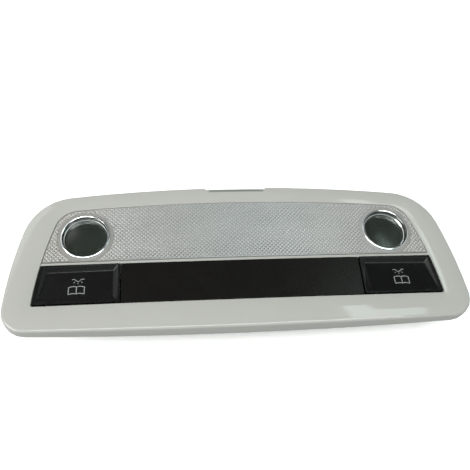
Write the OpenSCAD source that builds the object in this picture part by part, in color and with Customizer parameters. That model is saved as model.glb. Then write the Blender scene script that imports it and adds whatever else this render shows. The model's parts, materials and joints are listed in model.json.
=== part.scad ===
// Roof lamp for the rear of a car cabin: a centre lamp behind one long lens,
// a reading lamp at each end and a rocking key for each reading lamp.
// The lamp lies on its back: +Z is the way the light goes, +X is to the right
// and -Y is the edge with the keys. Z = 0 is the back of the lamp.

/* [Rim] */
// Width of the rim across its side arcs
rim_w = 253.8; // [246:0.2:262]
// Bow radius of the rim's front edge
rim_front_r = 2710; // [1500:10:5000]
// Bow radius of the rim's back edge
rim_back_r = 870; // [600:5:1500]
// Radius of the rim's side arcs
rim_side_r = 235; // [180:1:320]
// Radius of the front corners
rim_front_corner_r = 12.5; // [8:0.5:16]
// Radius of the back corners
rim_back_corner_r = 28; // [20:0.5:32]
// How far the rim's back wall leans in from its seat to its face, on the middle line
back_lean = 2.4; // [0:0.1:3]
// Bow radius of the face's back edge
face_back_r = 1130; // [600:10:2000]
// How far in front of the rim's front edge both side arcs have their widest point
side_level = 3.05; // [0:0.05:8]
// Rounding of the outer edge
rim_edge_r = 1.5; // [0.8:0.1:2.5]
// Wall of the rim's outer leg
rim_leg_t = 2.2; // [1.6:0.1:3]
// Skin of the rim's face
rim_skin_t = 2.4; // [1.6:0.1:3]
// Wall of the skirt round the opening
skirt_t = 1.6; // [1.2:0.1:2.2]
// Rounding of the edge round the opening
skirt_edge_r = 0.4; // [0.2:0.1:0.8]

/* [Opening] */
// Width of the rim in front of the keys
front_band = 15.4; // [13:0.1:18]
// Width of the rim behind the lens
back_band = 12.8; // [11:0.1:15]
// Width of the rim beside the opening
side_band = 14.8; // [13:0.1:17]
// Bow radius of the opening's back edge
opening_back_r = 1520; // [1000:10:3000]
// Radius of the opening's side arcs
opening_side_r = 206.4; // [190:0.2:240]
// Radius of the opening's back corners
opening_back_corner_r = 13.2; // [9:0.1:16]
// Radius of the opening's front corners
opening_front_corner_r = 1; // [0.6:0.1:2]
// Bow radius of the key row and of the bar behind it
row_bow_r = 7700; // [4000:100:12000]
// Depth of the key row
row_d = 23.2; // [21:0.1:26]
// Width of the bar between the key row and the lens
bar_w = 1.5; // [1.2:0.1:2.5]
// Depth of the opening behind the bar, on the middle line
lens_d = 35.4; // [32:0.1:39]

/* [Heights] */
// Height of the rim's seat on the roof lining, above the back
seat_h = 30; // [28:0.5:32]
// Height of the rim's face above its seat, where the crown ends
rim_h = 7; // [6.5:0.1:9]
// Rise of the face from there to the middle
crown = 3; // [1.5:0.1:4]
// How far inside the rim's widest place the crown ends
crown_in = 11.9; // [0:0.1:20]
// Thickness of the housing's flange
flange_t = 3; // [2.5:0.1:3.5]
// Height of the tray's underside
floor_h = 10; // [6:0.5:12]
// Wall of the tray
tray_t = 2; // [1.5:0.1:2.5]
// Ledge that carries the lens and the centre panel
ledge_w = 2.4; // [2.2:0.1:3]

/* [Release chamfer] */
// Length of the chamfer for the trim tool, in the middle of the back edge
release_w = 34; // [20:1:50]
// Reach of the chamfer over the face
release_reach = 1.7; // [1:0.1:2.2]
// Drop of the chamfer down the wall
release_drop = 2.4; // [1.5:0.1:3]

/* [Lens] */
// Running gap round the lens and the centre panel
lens_gap = 0.3; // [0.2:0.05:0.5]
// Thickness of the lens
lens_t = 2.2; // [1.6:0.1:2.6]
// Wall round the lens and the centre panel
lens_wall_t = 1.4; // [1:0.1:1.8]
// How far the lens lies below the face
lens_drop = 0.2; // [0:0.05:0.4]
// Width of the smooth collar round each ring
collar_w = 1.5; // [1:0.1:2]
// Height of the collar above the lens
collar_h = 0.2; // [0.15:0.05:0.4]

/* [Reading lamps] */
// Width of lens between each ring and the opening's side
lamp_side_margin = 5.5; // [4:0.1:8]
// Width of lens in front of each ring
lamp_front_margin = 2.1; // [2:0.1:4]
// Width of lens behind each ring, measured to the opening's back edge on the middle line
lamp_back_margin = 6.3; // [5.5:0.1:8]
// Width of the ring's face
ring_face_w = 1.2; // [0.9:0.05:1.5]
// Height of the ring above the collar
ring_h = 1.1; // [0.8:0.1:1.6]
// Step from the ring's outer edge to its barrel, in the lens
ring_step = 0.6; // [0.5:0.05:0.8]
// Radial gap round the barrel
barrel_gap = 0.15; // [0.1:0.05:0.3]
// Distance from the ring's outer edge to the glass
glass_in = 1.9; // [1.7:0.05:2.3]
// Thickness of the glass at its edge
glass_t = 1.6; // [1.2:0.1:2]
// Depth of the glass edge below the collar
glass_depth = 2.2; // [1.8:0.1:2.6]
// How far the well that holds the reflector is wider than the ring, all round
well_room = 1.5; // [1.3:0.1:2]
// Height of the well's underside above the back
well_h = 4; // [3:0.5:5]
// Radius of the reflector's hole for the bulb
reflector_hole_r = 5.8; // [5.5:0.1:6.2]
// Radius of the reading bulb
bulb_r = 5; // [4.6:0.1:5.2]
// How far the reading bulb's tip stays below the top of the well
bulb_low = 1; // [0.5:0.1:4]
// Radius of the bulb holder's barrel
holder_r = 8; // [7.5:0.1:9]

/* [Keys] */
// Width of the centre panel
panel_w = 130.2; // [124:0.2:136]
// Chamfer of the centre panel's back corners
panel_corner = 1.1; // [0.4:0.1:1.6]
// How far the centre panel stands above the face
row_rise = 0.2; // [0:0.05:0.4]
// How far the keys stand above the centre panel
key_rise = 0.5; // [0:0.1:0.8]
// Gap between the centre panel and each key
key_gap = 0.8; // [0.6:0.05:1]
// Gap in front of each key
key_front_gap = 0.7; // [0.6:0.05:1]
// Gap between each key and the rim's side
key_side_gap = 0.5; // [0.4:0.05:0.8]
// Gap behind each key
key_back_gap = 0.4; // [0.3:0.05:0.6]
// Wall of each key
key_t = 1.5; // [1.2:0.1:1.7]
// Height of the key's skirt above the flange
key_skirt_h = 1.2; // [1.1:0.1:1.5]
// Depth of the finger dish at its back
dish_back = 2.2; // [1.6:0.1:2.3]
// Depth of the finger dish at its front
dish_front = 0.7; // [0.5:0.1:1.2]
// Width of the flat edge round the dish
dish_edge = 1.2; // [0.9:0.1:1.6]
// Distance of the key's pivot in front of the bar
pivot_back = 2.1; // [2.1:0.1:3]
// Depth of the key's pivot below the flange's top
pivot_drop = 1.4; // [1:0.1:2]
// Radius of the key's pivot pins
pivot_r = 1.2; // [1:0.05:1.3]
// Radial running clearance of the pivot pins
pivot_clear = 0.05; // [0.03:0.01:0.1]
// Thickness of the bearing ears
ear_t = 2.2; // [1.6:0.1:3]
// Distance of the key's push post from the front of the key row
post_front = 6.1; // [6:0.1:9]

/* [Switches and board] */
// Depth of the board's underside below the rim's seat
board_drop = 9.6; // [9:0.2:11]
// Thickness of the board
board_t = 1.6; // [1:0.1:2]
// Width and depth of a switch
switch_w = 10; // [9:0.5:12]
// Height of a switch
switch_h = 6.5; // [6:0.1:7]
// Radius of a switch plunger
plunger_r = 2.3; // [2:0.1:2.6]
// Radial running clearance of a plunger
plunger_clear = 0.1; // [0.05:0.01:0.15]
// Gap between a push post and its plunger, at rest
post_gap = 0.1; // [0.05:0.05:0.3]

/* [Centre lamp] */
// Length of the festoon bulb between its tips
festoon_len = 41; // [36:0.5:44]
// Radius of the festoon bulb's glass
festoon_r = 5.2; // [4.5:0.1:6]
// Radius of the festoon bulb's end caps
festoon_cap_r = 3.6; // [3:0.1:4]
// Height of the festoon bulb's axis above the tray's floor
festoon_h = 9.5; // [8:0.5:11]
// Sheet of the centre reflector
tray_sheet = 1; // [0.6:0.1:1.5]

/* [Connector] */
// Inside width of the harness socket
socket_w = 26; // [24:0.5:30]
// Inside depth of the harness socket
socket_d = 11; // [10.5:0.1:13]
// How deep the plug goes in
socket_h = 10; // [8:0.5:12]
// Wall of the socket
socket_t = 1.5; // [1.2:0.1:2]
// Number of contact pins
pin_count = 6; // [4:1:8]
// Spacing of the pins
pin_pitch = 3.6; // [3:0.1:4]

/* [Fastening] */
// Distance of the four screws from the middle line
screw_x = 60; // [50:1:75]
// Radius of a screw's shank
screw_r = 1.4; // [1.2:0.05:1.5]
// Radius of a screw's head
screw_head_r = 2.8; // [2.5:0.1:3]
// Width of a spring clip
clip_w = 11; // [8:0.5:14]
// Sheet of a spring clip
clip_t = 0.8; // [0.6:0.05:1]
// How far a spring clip stands out from the tray
clip_reach = 6.5; // [5:0.1:8]

/* [Hidden] */
$fn = 48;

// Clearance between pieces that are fitted once and stay
fit = 0.2;
// Overshoot of a cut past the face that it opens, and overlap of forms that are joined
cut = 1;

// Outlines, each as half width, level of the side arcs, side radius, front edge, front bow,
// front corner, back edge, back bow and back corner
rim_d = front_band + row_d + bar_w + lens_d + back_band;
side_y = -rim_d / 2 - side_level;
rim = [rim_w / 2, side_y, rim_side_r, -rim_d / 2, rim_front_r, rim_front_corner_r,
       rim_d / 2, rim_back_r, rim_back_corner_r];
face_rim = concat([for (i = [0:5]) rim[i]], [rim_d / 2 - back_lean, face_back_r, rim_back_corner_r]);
opening = [rim_w / 2 - side_band, side_y, opening_side_r, -rim_d / 2 + front_band, row_bow_r,
           opening_front_corner_r, rim_d / 2 - back_band, opening_back_r, opening_back_corner_r];

face_h = seat_h + rim_h;
crown_half_w = rim_w / 2 - crown_in;
board_h = seat_h - board_drop;

row_y0 = opening[3];
row_y1 = row_y0 + row_d;
bar_y1 = row_y1 + bar_w;
flange_top = seat_h + flange_t;
floor_top = floor_h + tray_t;
board_top = board_h + board_t;
// How far the tray's inner and outer faces lie inside and outside the opening
tray_in = 0.2;
tray_out = tray_t - tray_in;
tray_side_r = opening_side_r + tray_out;
// Half the length of the back edge, as a turn, and the points at the ends of the release chamfer
release_run = 0.8;
back_turn = 90 - back_edge_end(face_rim);
release_out = 1 - asin((release_w / 2 + release_run) / face_back_r) / back_turn;
release_in = 1 - asin(release_w / 2 / face_back_r) / back_turn;
bezel_shares = concat([for (i = [0:5]) release_out * i / 6],
                      [release_out, release_in, (1 + release_in) / 2]);

// Screws, in the middle of the rim's front and back channels
screw_spots = [for (sx = [-1, 1], back = [true, false])
                   [sx * screw_x,
                    back ? (back_y(rim, screw_x) - rim_leg_t + back_y(opening, screw_x) + skirt_t) / 2
                         : (front_y(rim, screw_x) + rim_leg_t + front_y(opening, screw_x) - skirt_t) / 2]];
screw_head_h = 1.7;
screw_head_sink = 0.1;
screw_tip_gap = 0.4;
screw_clear = 0.05;
screw_drive_r = 1.1;
screw_drive_h = 0.9;
boss_r = screw_r + 1.7;

// Hooks of the lens and the centre panel
hook_w = 6;
hook_t = 1.2;
hook_nose = 0.5;
hook_gap = 0.15;
hook_play = 0.1;
hook_nose_h = 0.6;
hook_len = 1.8;
lens_hook_x = 45;
panel_hook_x = 40;

// Reading lamps
ring_r = (lens_d - lamp_front_margin - lamp_back_margin) / 2;
ring_lip_r = ring_r - ring_face_w;
barrel_r = ring_r - ring_step;
glass_r = ring_r - glass_in;
collar_r = ring_r + collar_w;
well_r = ring_r + well_room;
lamp_y = bar_y1 + lamp_front_margin + ring_r;
lamp_x = side_x(opening, lamp_y) - lamp_side_margin - ring_r;
lamp_tilt = atan(2 * crown * lamp_x / pow(crown_half_w, 2));
ring_seat = collar_h - lens_drop;
ring_land = 0.35;
ring_crest = 0.3;
glass_lip = 0.9;
glass_z = ring_seat - glass_depth;
glass_rise = 0.8;
glass_gap = 0.05;
barrel_len = 4.4;
reflector_t = 1;
reflector_r = well_r - reflector_t - 0.1;
reflector_lip = 1.4;
well_top = flange_top - reflector_t;
holder_len = 10;
holder_top = well_h + holder_len;
bowl_z = holder_top + 1;
bore_gap = 0.1;
wedge_w = 9;
wedge_t = 2.4;
wedge_h = 6;
bulb_neck = 0.8;
bulb_neck_h = 2;
cap_lip = 3;
cap_h = 2;
cap_grip_w = 5;
bayonet_w = 4;
bayonet_out = 1.6;
bayonet_t = 1.4;

// Keys
key_x0 = panel_w / 2 + key_gap;
key_z0 = flange_top + key_skirt_h;
key_top_rise = row_rise + key_rise;
pivot_y = row_y1 - pivot_back;
pivot_z = flange_top - pivot_drop;
lug_t = 1.6;
lug_r = pivot_back - 0.35;
// How far the lugs and the post run up into the key, and the lugs at their front
key_root = 2.4;
key_root_front = 0.8;
ear_r = pivot_r + 0.85;
ear_drop = 7;
ear_top_drop = 0.5;
ear_gap = 0.3;
pin_len = lug_t / 2 + ear_gap + ear_t + 0.8;
inner_lug_x = key_x0 + fit;
outer_lug_x = side_x(opening, row_y1) - key_side_gap - key_t - ear_gap - lug_t;
post_y = row_y0 + post_front;
post_x = (key_x0 + side_x(opening, post_y) - key_side_gap) / 2;
post_r = 2;

// Switches and connector
switch_wall = 1;
collar_plunger_r = plunger_r + 0.7;
collar_room = 0.3;
plunger_collar_h = 1.4;
plunger_out = 2.9;
plunger_top = board_top + switch_h + plunger_out;
plunger_low = board_top + switch_h - switch_wall - 0.1 - plunger_collar_h;
spring_end = 0.05;
spring_wire_r = 0.25;
spring_turns = 4;
header_y = (row_y0 + row_y1) / 2;
header_w = socket_w + 2 * socket_t;
header_d = socket_d + 2 * socket_t;
pin_w = 2;
pin_t = 0.8;
pin_back = 1.5;
pin_tail = 1.5;
pin_clear = 0.05;
pin_spots = [for (i = [0:pin_count - 1]) (i - (pin_count - 1) / 2) * pin_pitch];
// Posts that carry the board: how far inside the panel's ends, inside the row's ends and behind
// the middle of the row they stand
inner_post_in = 18;
outer_post_in = 10;
board_post_back = 2;
board_post_r = 3;
stake_r = 1.2;
stake_out = 0.6;
board_posts = [for (sx = [-1, 1],
                    x = [panel_w / 2 - inner_post_in, side_x(opening, header_y) - outer_post_in])
                   [sx * x, header_y + board_post_back]];

// Centre lamp
dome_y = (bar_y1 + opening[6]) / 2;
dome_half_w = lamp_x - well_r - tray_t - 1.5;
festoon_z = floor_top + tray_sheet + festoon_h;
tip_r = 0.8;
tip_len = 2.2;
festoon_cap_len = 8;
cap_round = 0.8;
contact_bite = 0.8;
contact_w = 8;
contact_foot = 9;
contact_rise = 3.5;
contact_flare = 2;
trough_slope = 4;
trough_top = seat_h - 1;

// Housing details
gusset_xs = [for (i = [-3:3]) i * 25];
gusset_t = 1.4;
gusset_reach = 5;
gusset_h = 12;
clip_y = 2;
clip_foot = 3;
clip_tip_drop = 9.6;
guide_t = 1.2;
bend_r = 1.8;
vent_w = 2.4;
vent_d = 14;
vent_pitch = 9;

// Height of the face at x
function face_z(x) = face_h + crown * (1 - pow(x / crown_half_w, 2));
// Where an outline's side arc is, at y
function side_x(o, y) = o[0] - o[2] + sqrt(pow(o[2], 2) - pow(y - o[1], 2));
// Where an outline's back edge is, at x
function back_y(o, x) = o[6] - o[7] + sqrt(pow(o[7], 2) - x * x);
// Where an outline's front edge is, at x
function front_y(o, x) = o[3] + o[4] - sqrt(pow(o[4], 2) - x * x);
// How far the key row's lines bow back, at x
function row_bow(x) = row_bow_r - sqrt(pow(row_bow_r, 2) - x * x);

// The outline drawn in by d all round, or out where d is negative
function inset(o, d) = [o[0] - d, o[1], o[2] - d, o[3] + d, o[4] - d, max(o[5] - d, 0.3),
                        o[6] - d, o[7] - d, max(o[8] - d, 0.3)];
// One of the two points at ra from a and at rb from b
function meet(a, ra, b, rb, side) =
    let (v = b - a, l = norm(v), u = v / l, k = (ra * ra - rb * rb + l * l) / (2 * l))
    a + u * k + side * sqrt(max(ra * ra - k * k, 0)) * [-u[1], u[0]];
function angle_of(v) = atan2(v[1], v[0]);
// Points of an arc at the given shares of its length
function arc(c, r, a0, a1, shares) =
    [for (s = shares) let (a = a0 + (a1 - a0) * s) c + r * [cos(a), sin(a)]];
function steps(n) = [for (i = [0:n - 1]) i / n];

// The turn at which an outline's back edge starts
function back_edge_end(o) =
    let (cb = [0, o[6] - o[7]])
    angle_of(meet(cb, o[7] - o[8], [o[0] - o[2], o[1]], o[2] - o[8], -1) - cb);
// The right half of an outline, from the middle of its front edge to the middle of its back edge
function half_outline(o, back_shares) =
    let (cf = [0, o[3] + o[4]], cb = [0, o[6] - o[7]], cs = [o[0] - o[2], o[1]],
         c1 = meet(cf, o[4] - o[5], cs, o[2] - o[5], 1),
         c2 = meet(cb, o[7] - o[8], cs, o[2] - o[8], -1),
         a1 = angle_of(c1 - cf), a2 = angle_of(c1 - cs), a3 = angle_of(c2 - cs),
         a4 = angle_of(c2 - cb))
    concat(arc(cf, o[4], -90, a1, steps(5)), arc(c1, o[5], a1, a2, steps(5)),
           arc(cs, o[2], a2, a3, steps(8)), arc(c2, o[8], a3, a4, steps(7)),
           arc(cb, o[7], a4, 90, back_shares), [[0, o[6]]]);
// The whole outline, with the same number of points whatever its size
function outline(o, back_shares = steps(7)) =
    let (h = half_outline(o, back_shares), n = len(h))
    concat(h, [for (i = [n - 2:-1:1]) [-h[i][0], h[i][1]]]);

// Solid below the crowned face lowered by drop, down to z0
module under_face(drop, z0) {
    edge = rim_w / 2 + 2;
    count = 28;
    rotate([90, 0, 0])
        linear_extrude(height = 2 * rim_d, center = true)
            polygon(concat([[edge, z0], [-edge, z0]],
                           [for (i = [0:count])
                                let (x = -edge + 2 * edge * i / count) [x, face_z(x) - drop]]));
}

// Flat strip between two lines that bow with the key row
module band(y0, y1, x0 = -rim_w / 2, x1 = rim_w / 2) {
    xs = [for (i = [0:16]) x0 + (x1 - x0) * i / 16];
    polygon(concat([for (x = xs) [x, y0 + row_bow(x)]],
                   [for (i = [16:-1:0]) [xs[i], y1 + row_bow(xs[i])]]));
}

module opening_shape(d) {
    polygon(outline(inset(opening, d)));
}

// Part of the opening behind the bar, drawn in by d
module lens_shape(d) {
    intersection() {
        opening_shape(d);
        band(bar_y1 + d, rim_d);
    }
}

// Part of the key row between x0 and x1, drawn in at its front, back and sides
module row_shape(front, back, side, x0, x1) {
    intersection() {
        opening_shape(side);
        band(row_y0 + front, row_y1 - back, x0, x1);
    }
}

module both_sides() {
    children();
    mirror([1, 0, 0])
        children();
}

// Closed skin through rings of points, each ring joined to the next and the last to the first
module loft(rings) {
    m = len(rings);
    n = len(rings[0]);
    polyhedron(points = [for (ring = rings) each ring],
               faces = [for (j = [0:m - 1], i = [0:n - 1])
                            let (k = (j + 1) % m, l = (i + 1) % n)
                            each [[j * n + i, k * n + l, j * n + l],
                                  [j * n + i, k * n + i, k * n + l]]],
               convexity = 8);
}

function perp(v) = [-v[1], v[0]];
function unit(v) = v / norm(v);
// The path moved sideways by d, with mitred corners
function side_of(path, d) =
    [for (i = [0:len(path) - 1])
         let (after = unit(path[min(i + 1, len(path) - 1)] - path[min(i, len(path) - 2)]),
              before = i == 0 ? after : unit(path[i] - path[i - 1]),
              n = unit(perp(before) + perp(after)))
         path[i] + n * d / (n * perp(before))];
// Section of a sheet of thickness t bent along a path
module bent_sheet(path, t) {
    back = side_of(path, -t / 2);
    polygon(concat(side_of(path, t / 2), [for (i = [len(back) - 1:-1:0]) back[i]]));
}

// A section in Y and Z, drawn from x over the given length
module along_x(x, len) {
    translate([x, 0, 0])
        rotate([90, 0, 90])
            linear_extrude(height = len)
                children();
}

// The frame of the right reading lamp, level with the crowned face there
module at_lamp() {
    translate([lamp_x, lamp_y, face_z(lamp_x)])
        rotate([0, lamp_tilt, 0])
            children();
}

// The upright frame of the right reading lamp
module at_well() {
    translate([lamp_x, lamp_y, 0])
        children();
}

// The right end wall of the tray, with X outward
module at_end_wall() {
    turn = asin((clip_y - side_y) / tray_side_r);
    translate([opening[0] - opening[2], side_y, 0])
        rotate([0, 0, turn])
            translate([tray_side_r, 0, 0])
                children();
}

// Bezel

// One ring of points round an outline: drawn in by d, and lowered by drop or level at z
function face_ring(o, d, drop) =
    [for (p = outline(inset(o, d), bezel_shares)) [p[0], p[1], face_z(p[0]) - drop]];
function flat_ring(o, d, z) = [for (p = outline(inset(o, d), bezel_shares)) [p[0], p[1], z]];
// How much of the release chamfer shows at a point of the edge
function release_share(p) =
    p[1] > 0 ? min(max((release_w / 2 + release_run - abs(p[0])) / release_run, 0), 1) : 0;
// The rounding of the outer edge at turn t, which gives way to the release chamfer at the back
function edge_ring(t) =
    let (a = face_ring(face_rim, rim_edge_r * (1 - cos(t)), rim_edge_r * (1 - sin(t))),
         b = face_ring(face_rim, release_reach * t / 90, release_drop * (1 - t / 90)))
    [for (i = [0:len(a) - 1]) let (w = release_share(a[i])) a[i] * (1 - w) + b[i] * w];
function opening_edge_ring(t) =
    face_ring(opening, -skirt_edge_r * (1 - cos(t)), skirt_edge_r * (1 - sin(t)));

module bezel_shell() {
    loft(concat([flat_ring(rim, 0, seat_h)],
                [for (t = [0:18:90]) edge_ring(t)],
                [for (t = [90:-30:0]) opening_edge_ring(t)],
                [flat_ring(opening, 0, flange_top),
                 flat_ring(opening, -skirt_t, flange_top),
                 face_ring(opening, -skirt_t, rim_skin_t),
                 face_ring(face_rim, rim_leg_t, rim_skin_t),
                 flat_ring(rim, rim_leg_t, flange_top + fit),
                 flat_ring(rim, rim_leg_t, seat_h)]));
}

module bezel_bar() {
    reach = side_x(opening, row_y1) + skirt_t / 2;
    intersection() {
        translate([0, 0, flange_top])
            linear_extrude(height = face_h)
                band(row_y1, bar_y1, -reach, reach);
        under_face(skirt_edge_r, 0);
    }
}

module bezel() {
    skin_z = face_z(screw_x) - rim_skin_t;
    color([0.74, 0.74, 0.72])
        difference() {
            union() {
                bezel_shell();
                bezel_bar();
                for (p = screw_spots)
                    translate([p[0], p[1], flange_top])
                        cylinder(r = boss_r, h = skin_z + rim_skin_t / 2 - flange_top);
            }
            for (p = screw_spots)
                translate([p[0], p[1], flange_top - cut])
                    cylinder(r = screw_r + screw_clear, h = skin_z + cut - flange_top);
        }
}

// Lens and centre panel

// Section of a hook that snaps under the flange, with its back at y and its nose towards +Y
module hook_section(y, top) {
    low = seat_h - hook_len;
    catch_z = seat_h - hook_play;
    translate([y, 0])
        polygon([[0, top], [-hook_t, top], [-hook_t, low], [-hook_t / 3, low],
                 [hook_nose, catch_z - hook_nose_h], [hook_nose, catch_z], [0, catch_z]]);
}

// Four hooks on the edges of a window whose edges are at y0 and y1
module hooks(x, y0, y1, top) {
    for (sx = [-1, 1]) {
        along_x(sx * x - hook_w / 2, hook_w)
            hook_section(y1 - hook_gap, top);
        along_x(sx * x - hook_w / 2, hook_w)
            mirror([1, 0])
                hook_section(-y0 - hook_gap, top);
    }
}

module diffuser_lens() {
    color([0.72, 0.74, 0.73])
        difference() {
            union() {
                difference() {
                    intersection() {
                        translate([0, 0, flange_top])
                            linear_extrude(height = face_h)
                                lens_shape(lens_gap);
                        under_face(lens_drop, 0);
                    }
                    intersection() {
                        translate([0, 0, flange_top - cut])
                            linear_extrude(height = face_h)
                                lens_shape(lens_gap + lens_wall_t);
                        under_face(lens_drop + lens_t, 0);
                    }
                }
                hooks(lens_hook_x, bar_y1 + row_bow(lens_hook_x) + ledge_w,
                      back_y(opening, lens_hook_x) - ledge_w,
                      face_z(lens_hook_x + hook_w) - lens_drop - lens_t / 2);
                both_sides()
                    at_lamp()
                        translate([0, 0, -lens_drop - lens_t / 2])
                            cylinder(r = collar_r, h = lens_t / 2 + collar_h, $fn = 96);
            }
            both_sides()
                at_lamp()
                    translate([0, 0, -2 * lens_t])
                        cylinder(r = barrel_r + barrel_gap, h = 4 * lens_t, $fn = 96);
        }
}

// Outline of the centre panel, drawn in by d
module panel_shape(d) {
    half = panel_w / 2 - d;
    edge = lens_gap + d;
    difference() {
        row_shape(edge, edge, 0, -half, half);
        both_sides()
            translate([half, row_y1 + row_bow(half) - edge])
                rotate([0, 0, 45])
                    square(panel_corner * sqrt(2), center = true);
    }
}

module centre_panel() {
    color([0.13, 0.13, 0.12])
        union() {
            difference() {
                intersection() {
                    translate([0, 0, flange_top])
                        linear_extrude(height = face_h)
                            panel_shape(0);
                    under_face(-row_rise, 0);
                }
                intersection() {
                    translate([0, 0, flange_top - cut])
                        linear_extrude(height = face_h)
                            panel_shape(lens_wall_t);
                    under_face(lens_t - row_rise, 0);
                }
            }
            hooks(panel_hook_x, row_y0 + row_bow(panel_hook_x) + ledge_w,
                  row_y1 + row_bow(panel_hook_x) - ledge_w,
                  face_z(panel_hook_x + hook_w) + row_rise - lens_t / 2);
        }
}

// Keys, modelled for the right side

// The finger dish, or the form that lies r outside it
module dish(r) {
    ball = 1;
    x0 = key_x0 + dish_edge;
    x1 = side_x(opening, row_y1) - key_side_gap - dish_edge;
    y0 = row_y0 + row_bow(post_x) + key_front_gap + dish_edge;
    y1 = row_y1 + row_bow(post_x) - key_back_gap - dish_edge;
    spread = side_x(opening, row_y0) - side_x(opening, row_y1);
    slope = 2.4;
    floor_points = [[x0 + slope, y1 - slope, dish_back], [x1 - slope, y1 - slope, dish_back],
                    [x0 + slope, y0 + slope, dish_front],
                    [x1 + spread - slope, y0 + slope, dish_front]];
    rise = 4;
    mouth_points = [[x0 - slope, y1 + slope], [x1 + slope, y1 + slope], [x0 - slope, y0 - 3 * slope],
                    [x1 + spread + slope, y0 - 3 * slope]];
    hull() {
        for (p = floor_points)
            translate([p[0], p[1], face_z(p[0]) + key_top_rise - p[2] + ball])
                sphere(r = ball + r, $fn = 24);
        for (p = mouth_points)
            translate([p[0], p[1], face_z(key_x0) + rise])
                sphere(r = ball + r, $fn = 24);
    }
}

module key_skin() {
    difference() {
        intersection() {
            translate([0, 0, key_z0])
                linear_extrude(height = face_h)
                    row_shape(key_front_gap, key_back_gap, key_side_gap, key_x0, rim_w / 2);
            under_face(-key_top_rise, 0);
        }
        difference() {
            intersection() {
                translate([0, 0, key_z0 - cut])
                    linear_extrude(height = face_h)
                        row_shape(key_front_gap + key_t, key_back_gap + key_t,
                                  key_side_gap + key_t, key_x0 + key_t, rim_w / 2);
                under_face(key_t - key_top_rise, 0);
            }
            dish(key_t);
        }
    }
}

// Section of the lug that carries a pivot pin
module lug_section() {
    translate([pivot_y, pivot_z])
        circle(r = lug_r);
    polygon([[pivot_y - lug_r, pivot_z], [pivot_y + lug_r, pivot_z],
             [pivot_y + lug_r, key_z0 + key_root], [pivot_y - lug_r, key_z0 + key_root_front]]);
}

module pivot_pin(x, len, r) {
    translate([x, pivot_y, pivot_z])
        rotate([0, 90, 0])
            cylinder(r = r, h = len);
}

module key() {
    color([0.1, 0.1, 0.1])
        union() {
            difference() {
                union() {
                    key_skin();
                    along_x(inner_lug_x, lug_t)
                        lug_section();
                    along_x(outer_lug_x, lug_t)
                        lug_section();
                    translate([post_x, post_y, plunger_top + post_gap])
                        cylinder(r = post_r, h = key_z0 + key_root - plunger_top - post_gap);
                }
                dish(0);
            }
            pivot_pin(inner_lug_x + lug_t / 2, pin_len, pivot_r);
            pivot_pin(outer_lug_x + lug_t / 2 - pin_len, pin_len, pivot_r);
        }
}

// Reading lamps, modelled for the right side

module reading_ring() {
    top = ring_seat + ring_h;
    low = ring_seat - barrel_len;
    crest_r = ring_lip_r + ring_crest;
    seat_r = glass_r + glass_gap;
    glass_low = glass_z - glass_t;
    color([0.86, 0.87, 0.88])
        at_lamp()
            rotate_extrude($fn = 96)
                polygon(concat(
                    [[barrel_r, low], [barrel_r, ring_seat], [ring_r, ring_seat],
                     [ring_r, ring_seat + ring_land]],
                    [for (t = [15:15:75])
                         [crest_r + (ring_r - crest_r) * cos(t),
                          ring_seat + ring_land + (ring_h - ring_land) * sin(t)]],
                    [for (t = [0:45:90])
                         [crest_r - ring_crest * sin(t), top - ring_crest * (1 - cos(t))]],
                    [[seat_r + ring_crest, glass_z + 2 * ring_crest],
                     [seat_r, glass_z + ring_crest], [seat_r, glass_low],
                     [glass_r - glass_lip, glass_low], [glass_r - glass_lip, low]]));
}

module reading_lens() {
    steps_out = 10;
    color([0.22, 0.24, 0.22])
        at_lamp()
            rotate_extrude($fn = 96)
                polygon(concat([[0, glass_z - glass_t], [glass_r, glass_z - glass_t]],
                               [for (i = [steps_out:-1:0])
                                    let (r = glass_r * i / steps_out)
                                    [r, glass_z + glass_rise * (1 - pow(r / glass_r, 2))]]));
}

function bowl_r(z) =
    sqrt(pow(reflector_hole_r, 2) + (pow(reflector_r, 2) - pow(reflector_hole_r, 2))
         * (z - bowl_z) / (well_top - bowl_z));

module reading_reflector() {
    count = 10;
    zs = [for (i = [0:count]) bowl_z + (well_top - bowl_z) * i / count];
    color([0.8, 0.81, 0.82])
        at_well()
            rotate_extrude($fn = 96)
                polygon(concat(
                    [for (z = zs) [bowl_r(z), z]],
                    [[reflector_r, flange_top], [well_r + reflector_lip, flange_top],
                     [well_r + reflector_lip, well_top]],
                    [for (i = [count:-1:0]) [bowl_r(zs[i]) + reflector_t, zs[i]]]));
}

module reading_bulb() {
    tip = well_top - bulb_low;
    color([0.85, 0.88, 0.9])
        at_well()
            union() {
                rotate_extrude()
                    polygon(concat([[0, holder_top], [bulb_r - bulb_neck, holder_top],
                                    [bulb_r, holder_top + bulb_neck_h]],
                                   [for (t = [0:15:75])
                                        [bulb_r * cos(t), tip - bulb_r + bulb_r * sin(t)]],
                                   [[0, tip]]));
                translate([-wedge_w / 2, -wedge_t / 2, holder_top - wedge_h])
                    cube([wedge_w, wedge_t, wedge_h + cut]);
            }
}

// The section of the holder's two bayonet lugs, or of their notches where gap is given
module bayonet(gap) {
    intersection() {
        circle(r = holder_r + bayonet_out + gap);
        square([4 * holder_r, bayonet_w + 2 * gap], center = true);
    }
}

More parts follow.
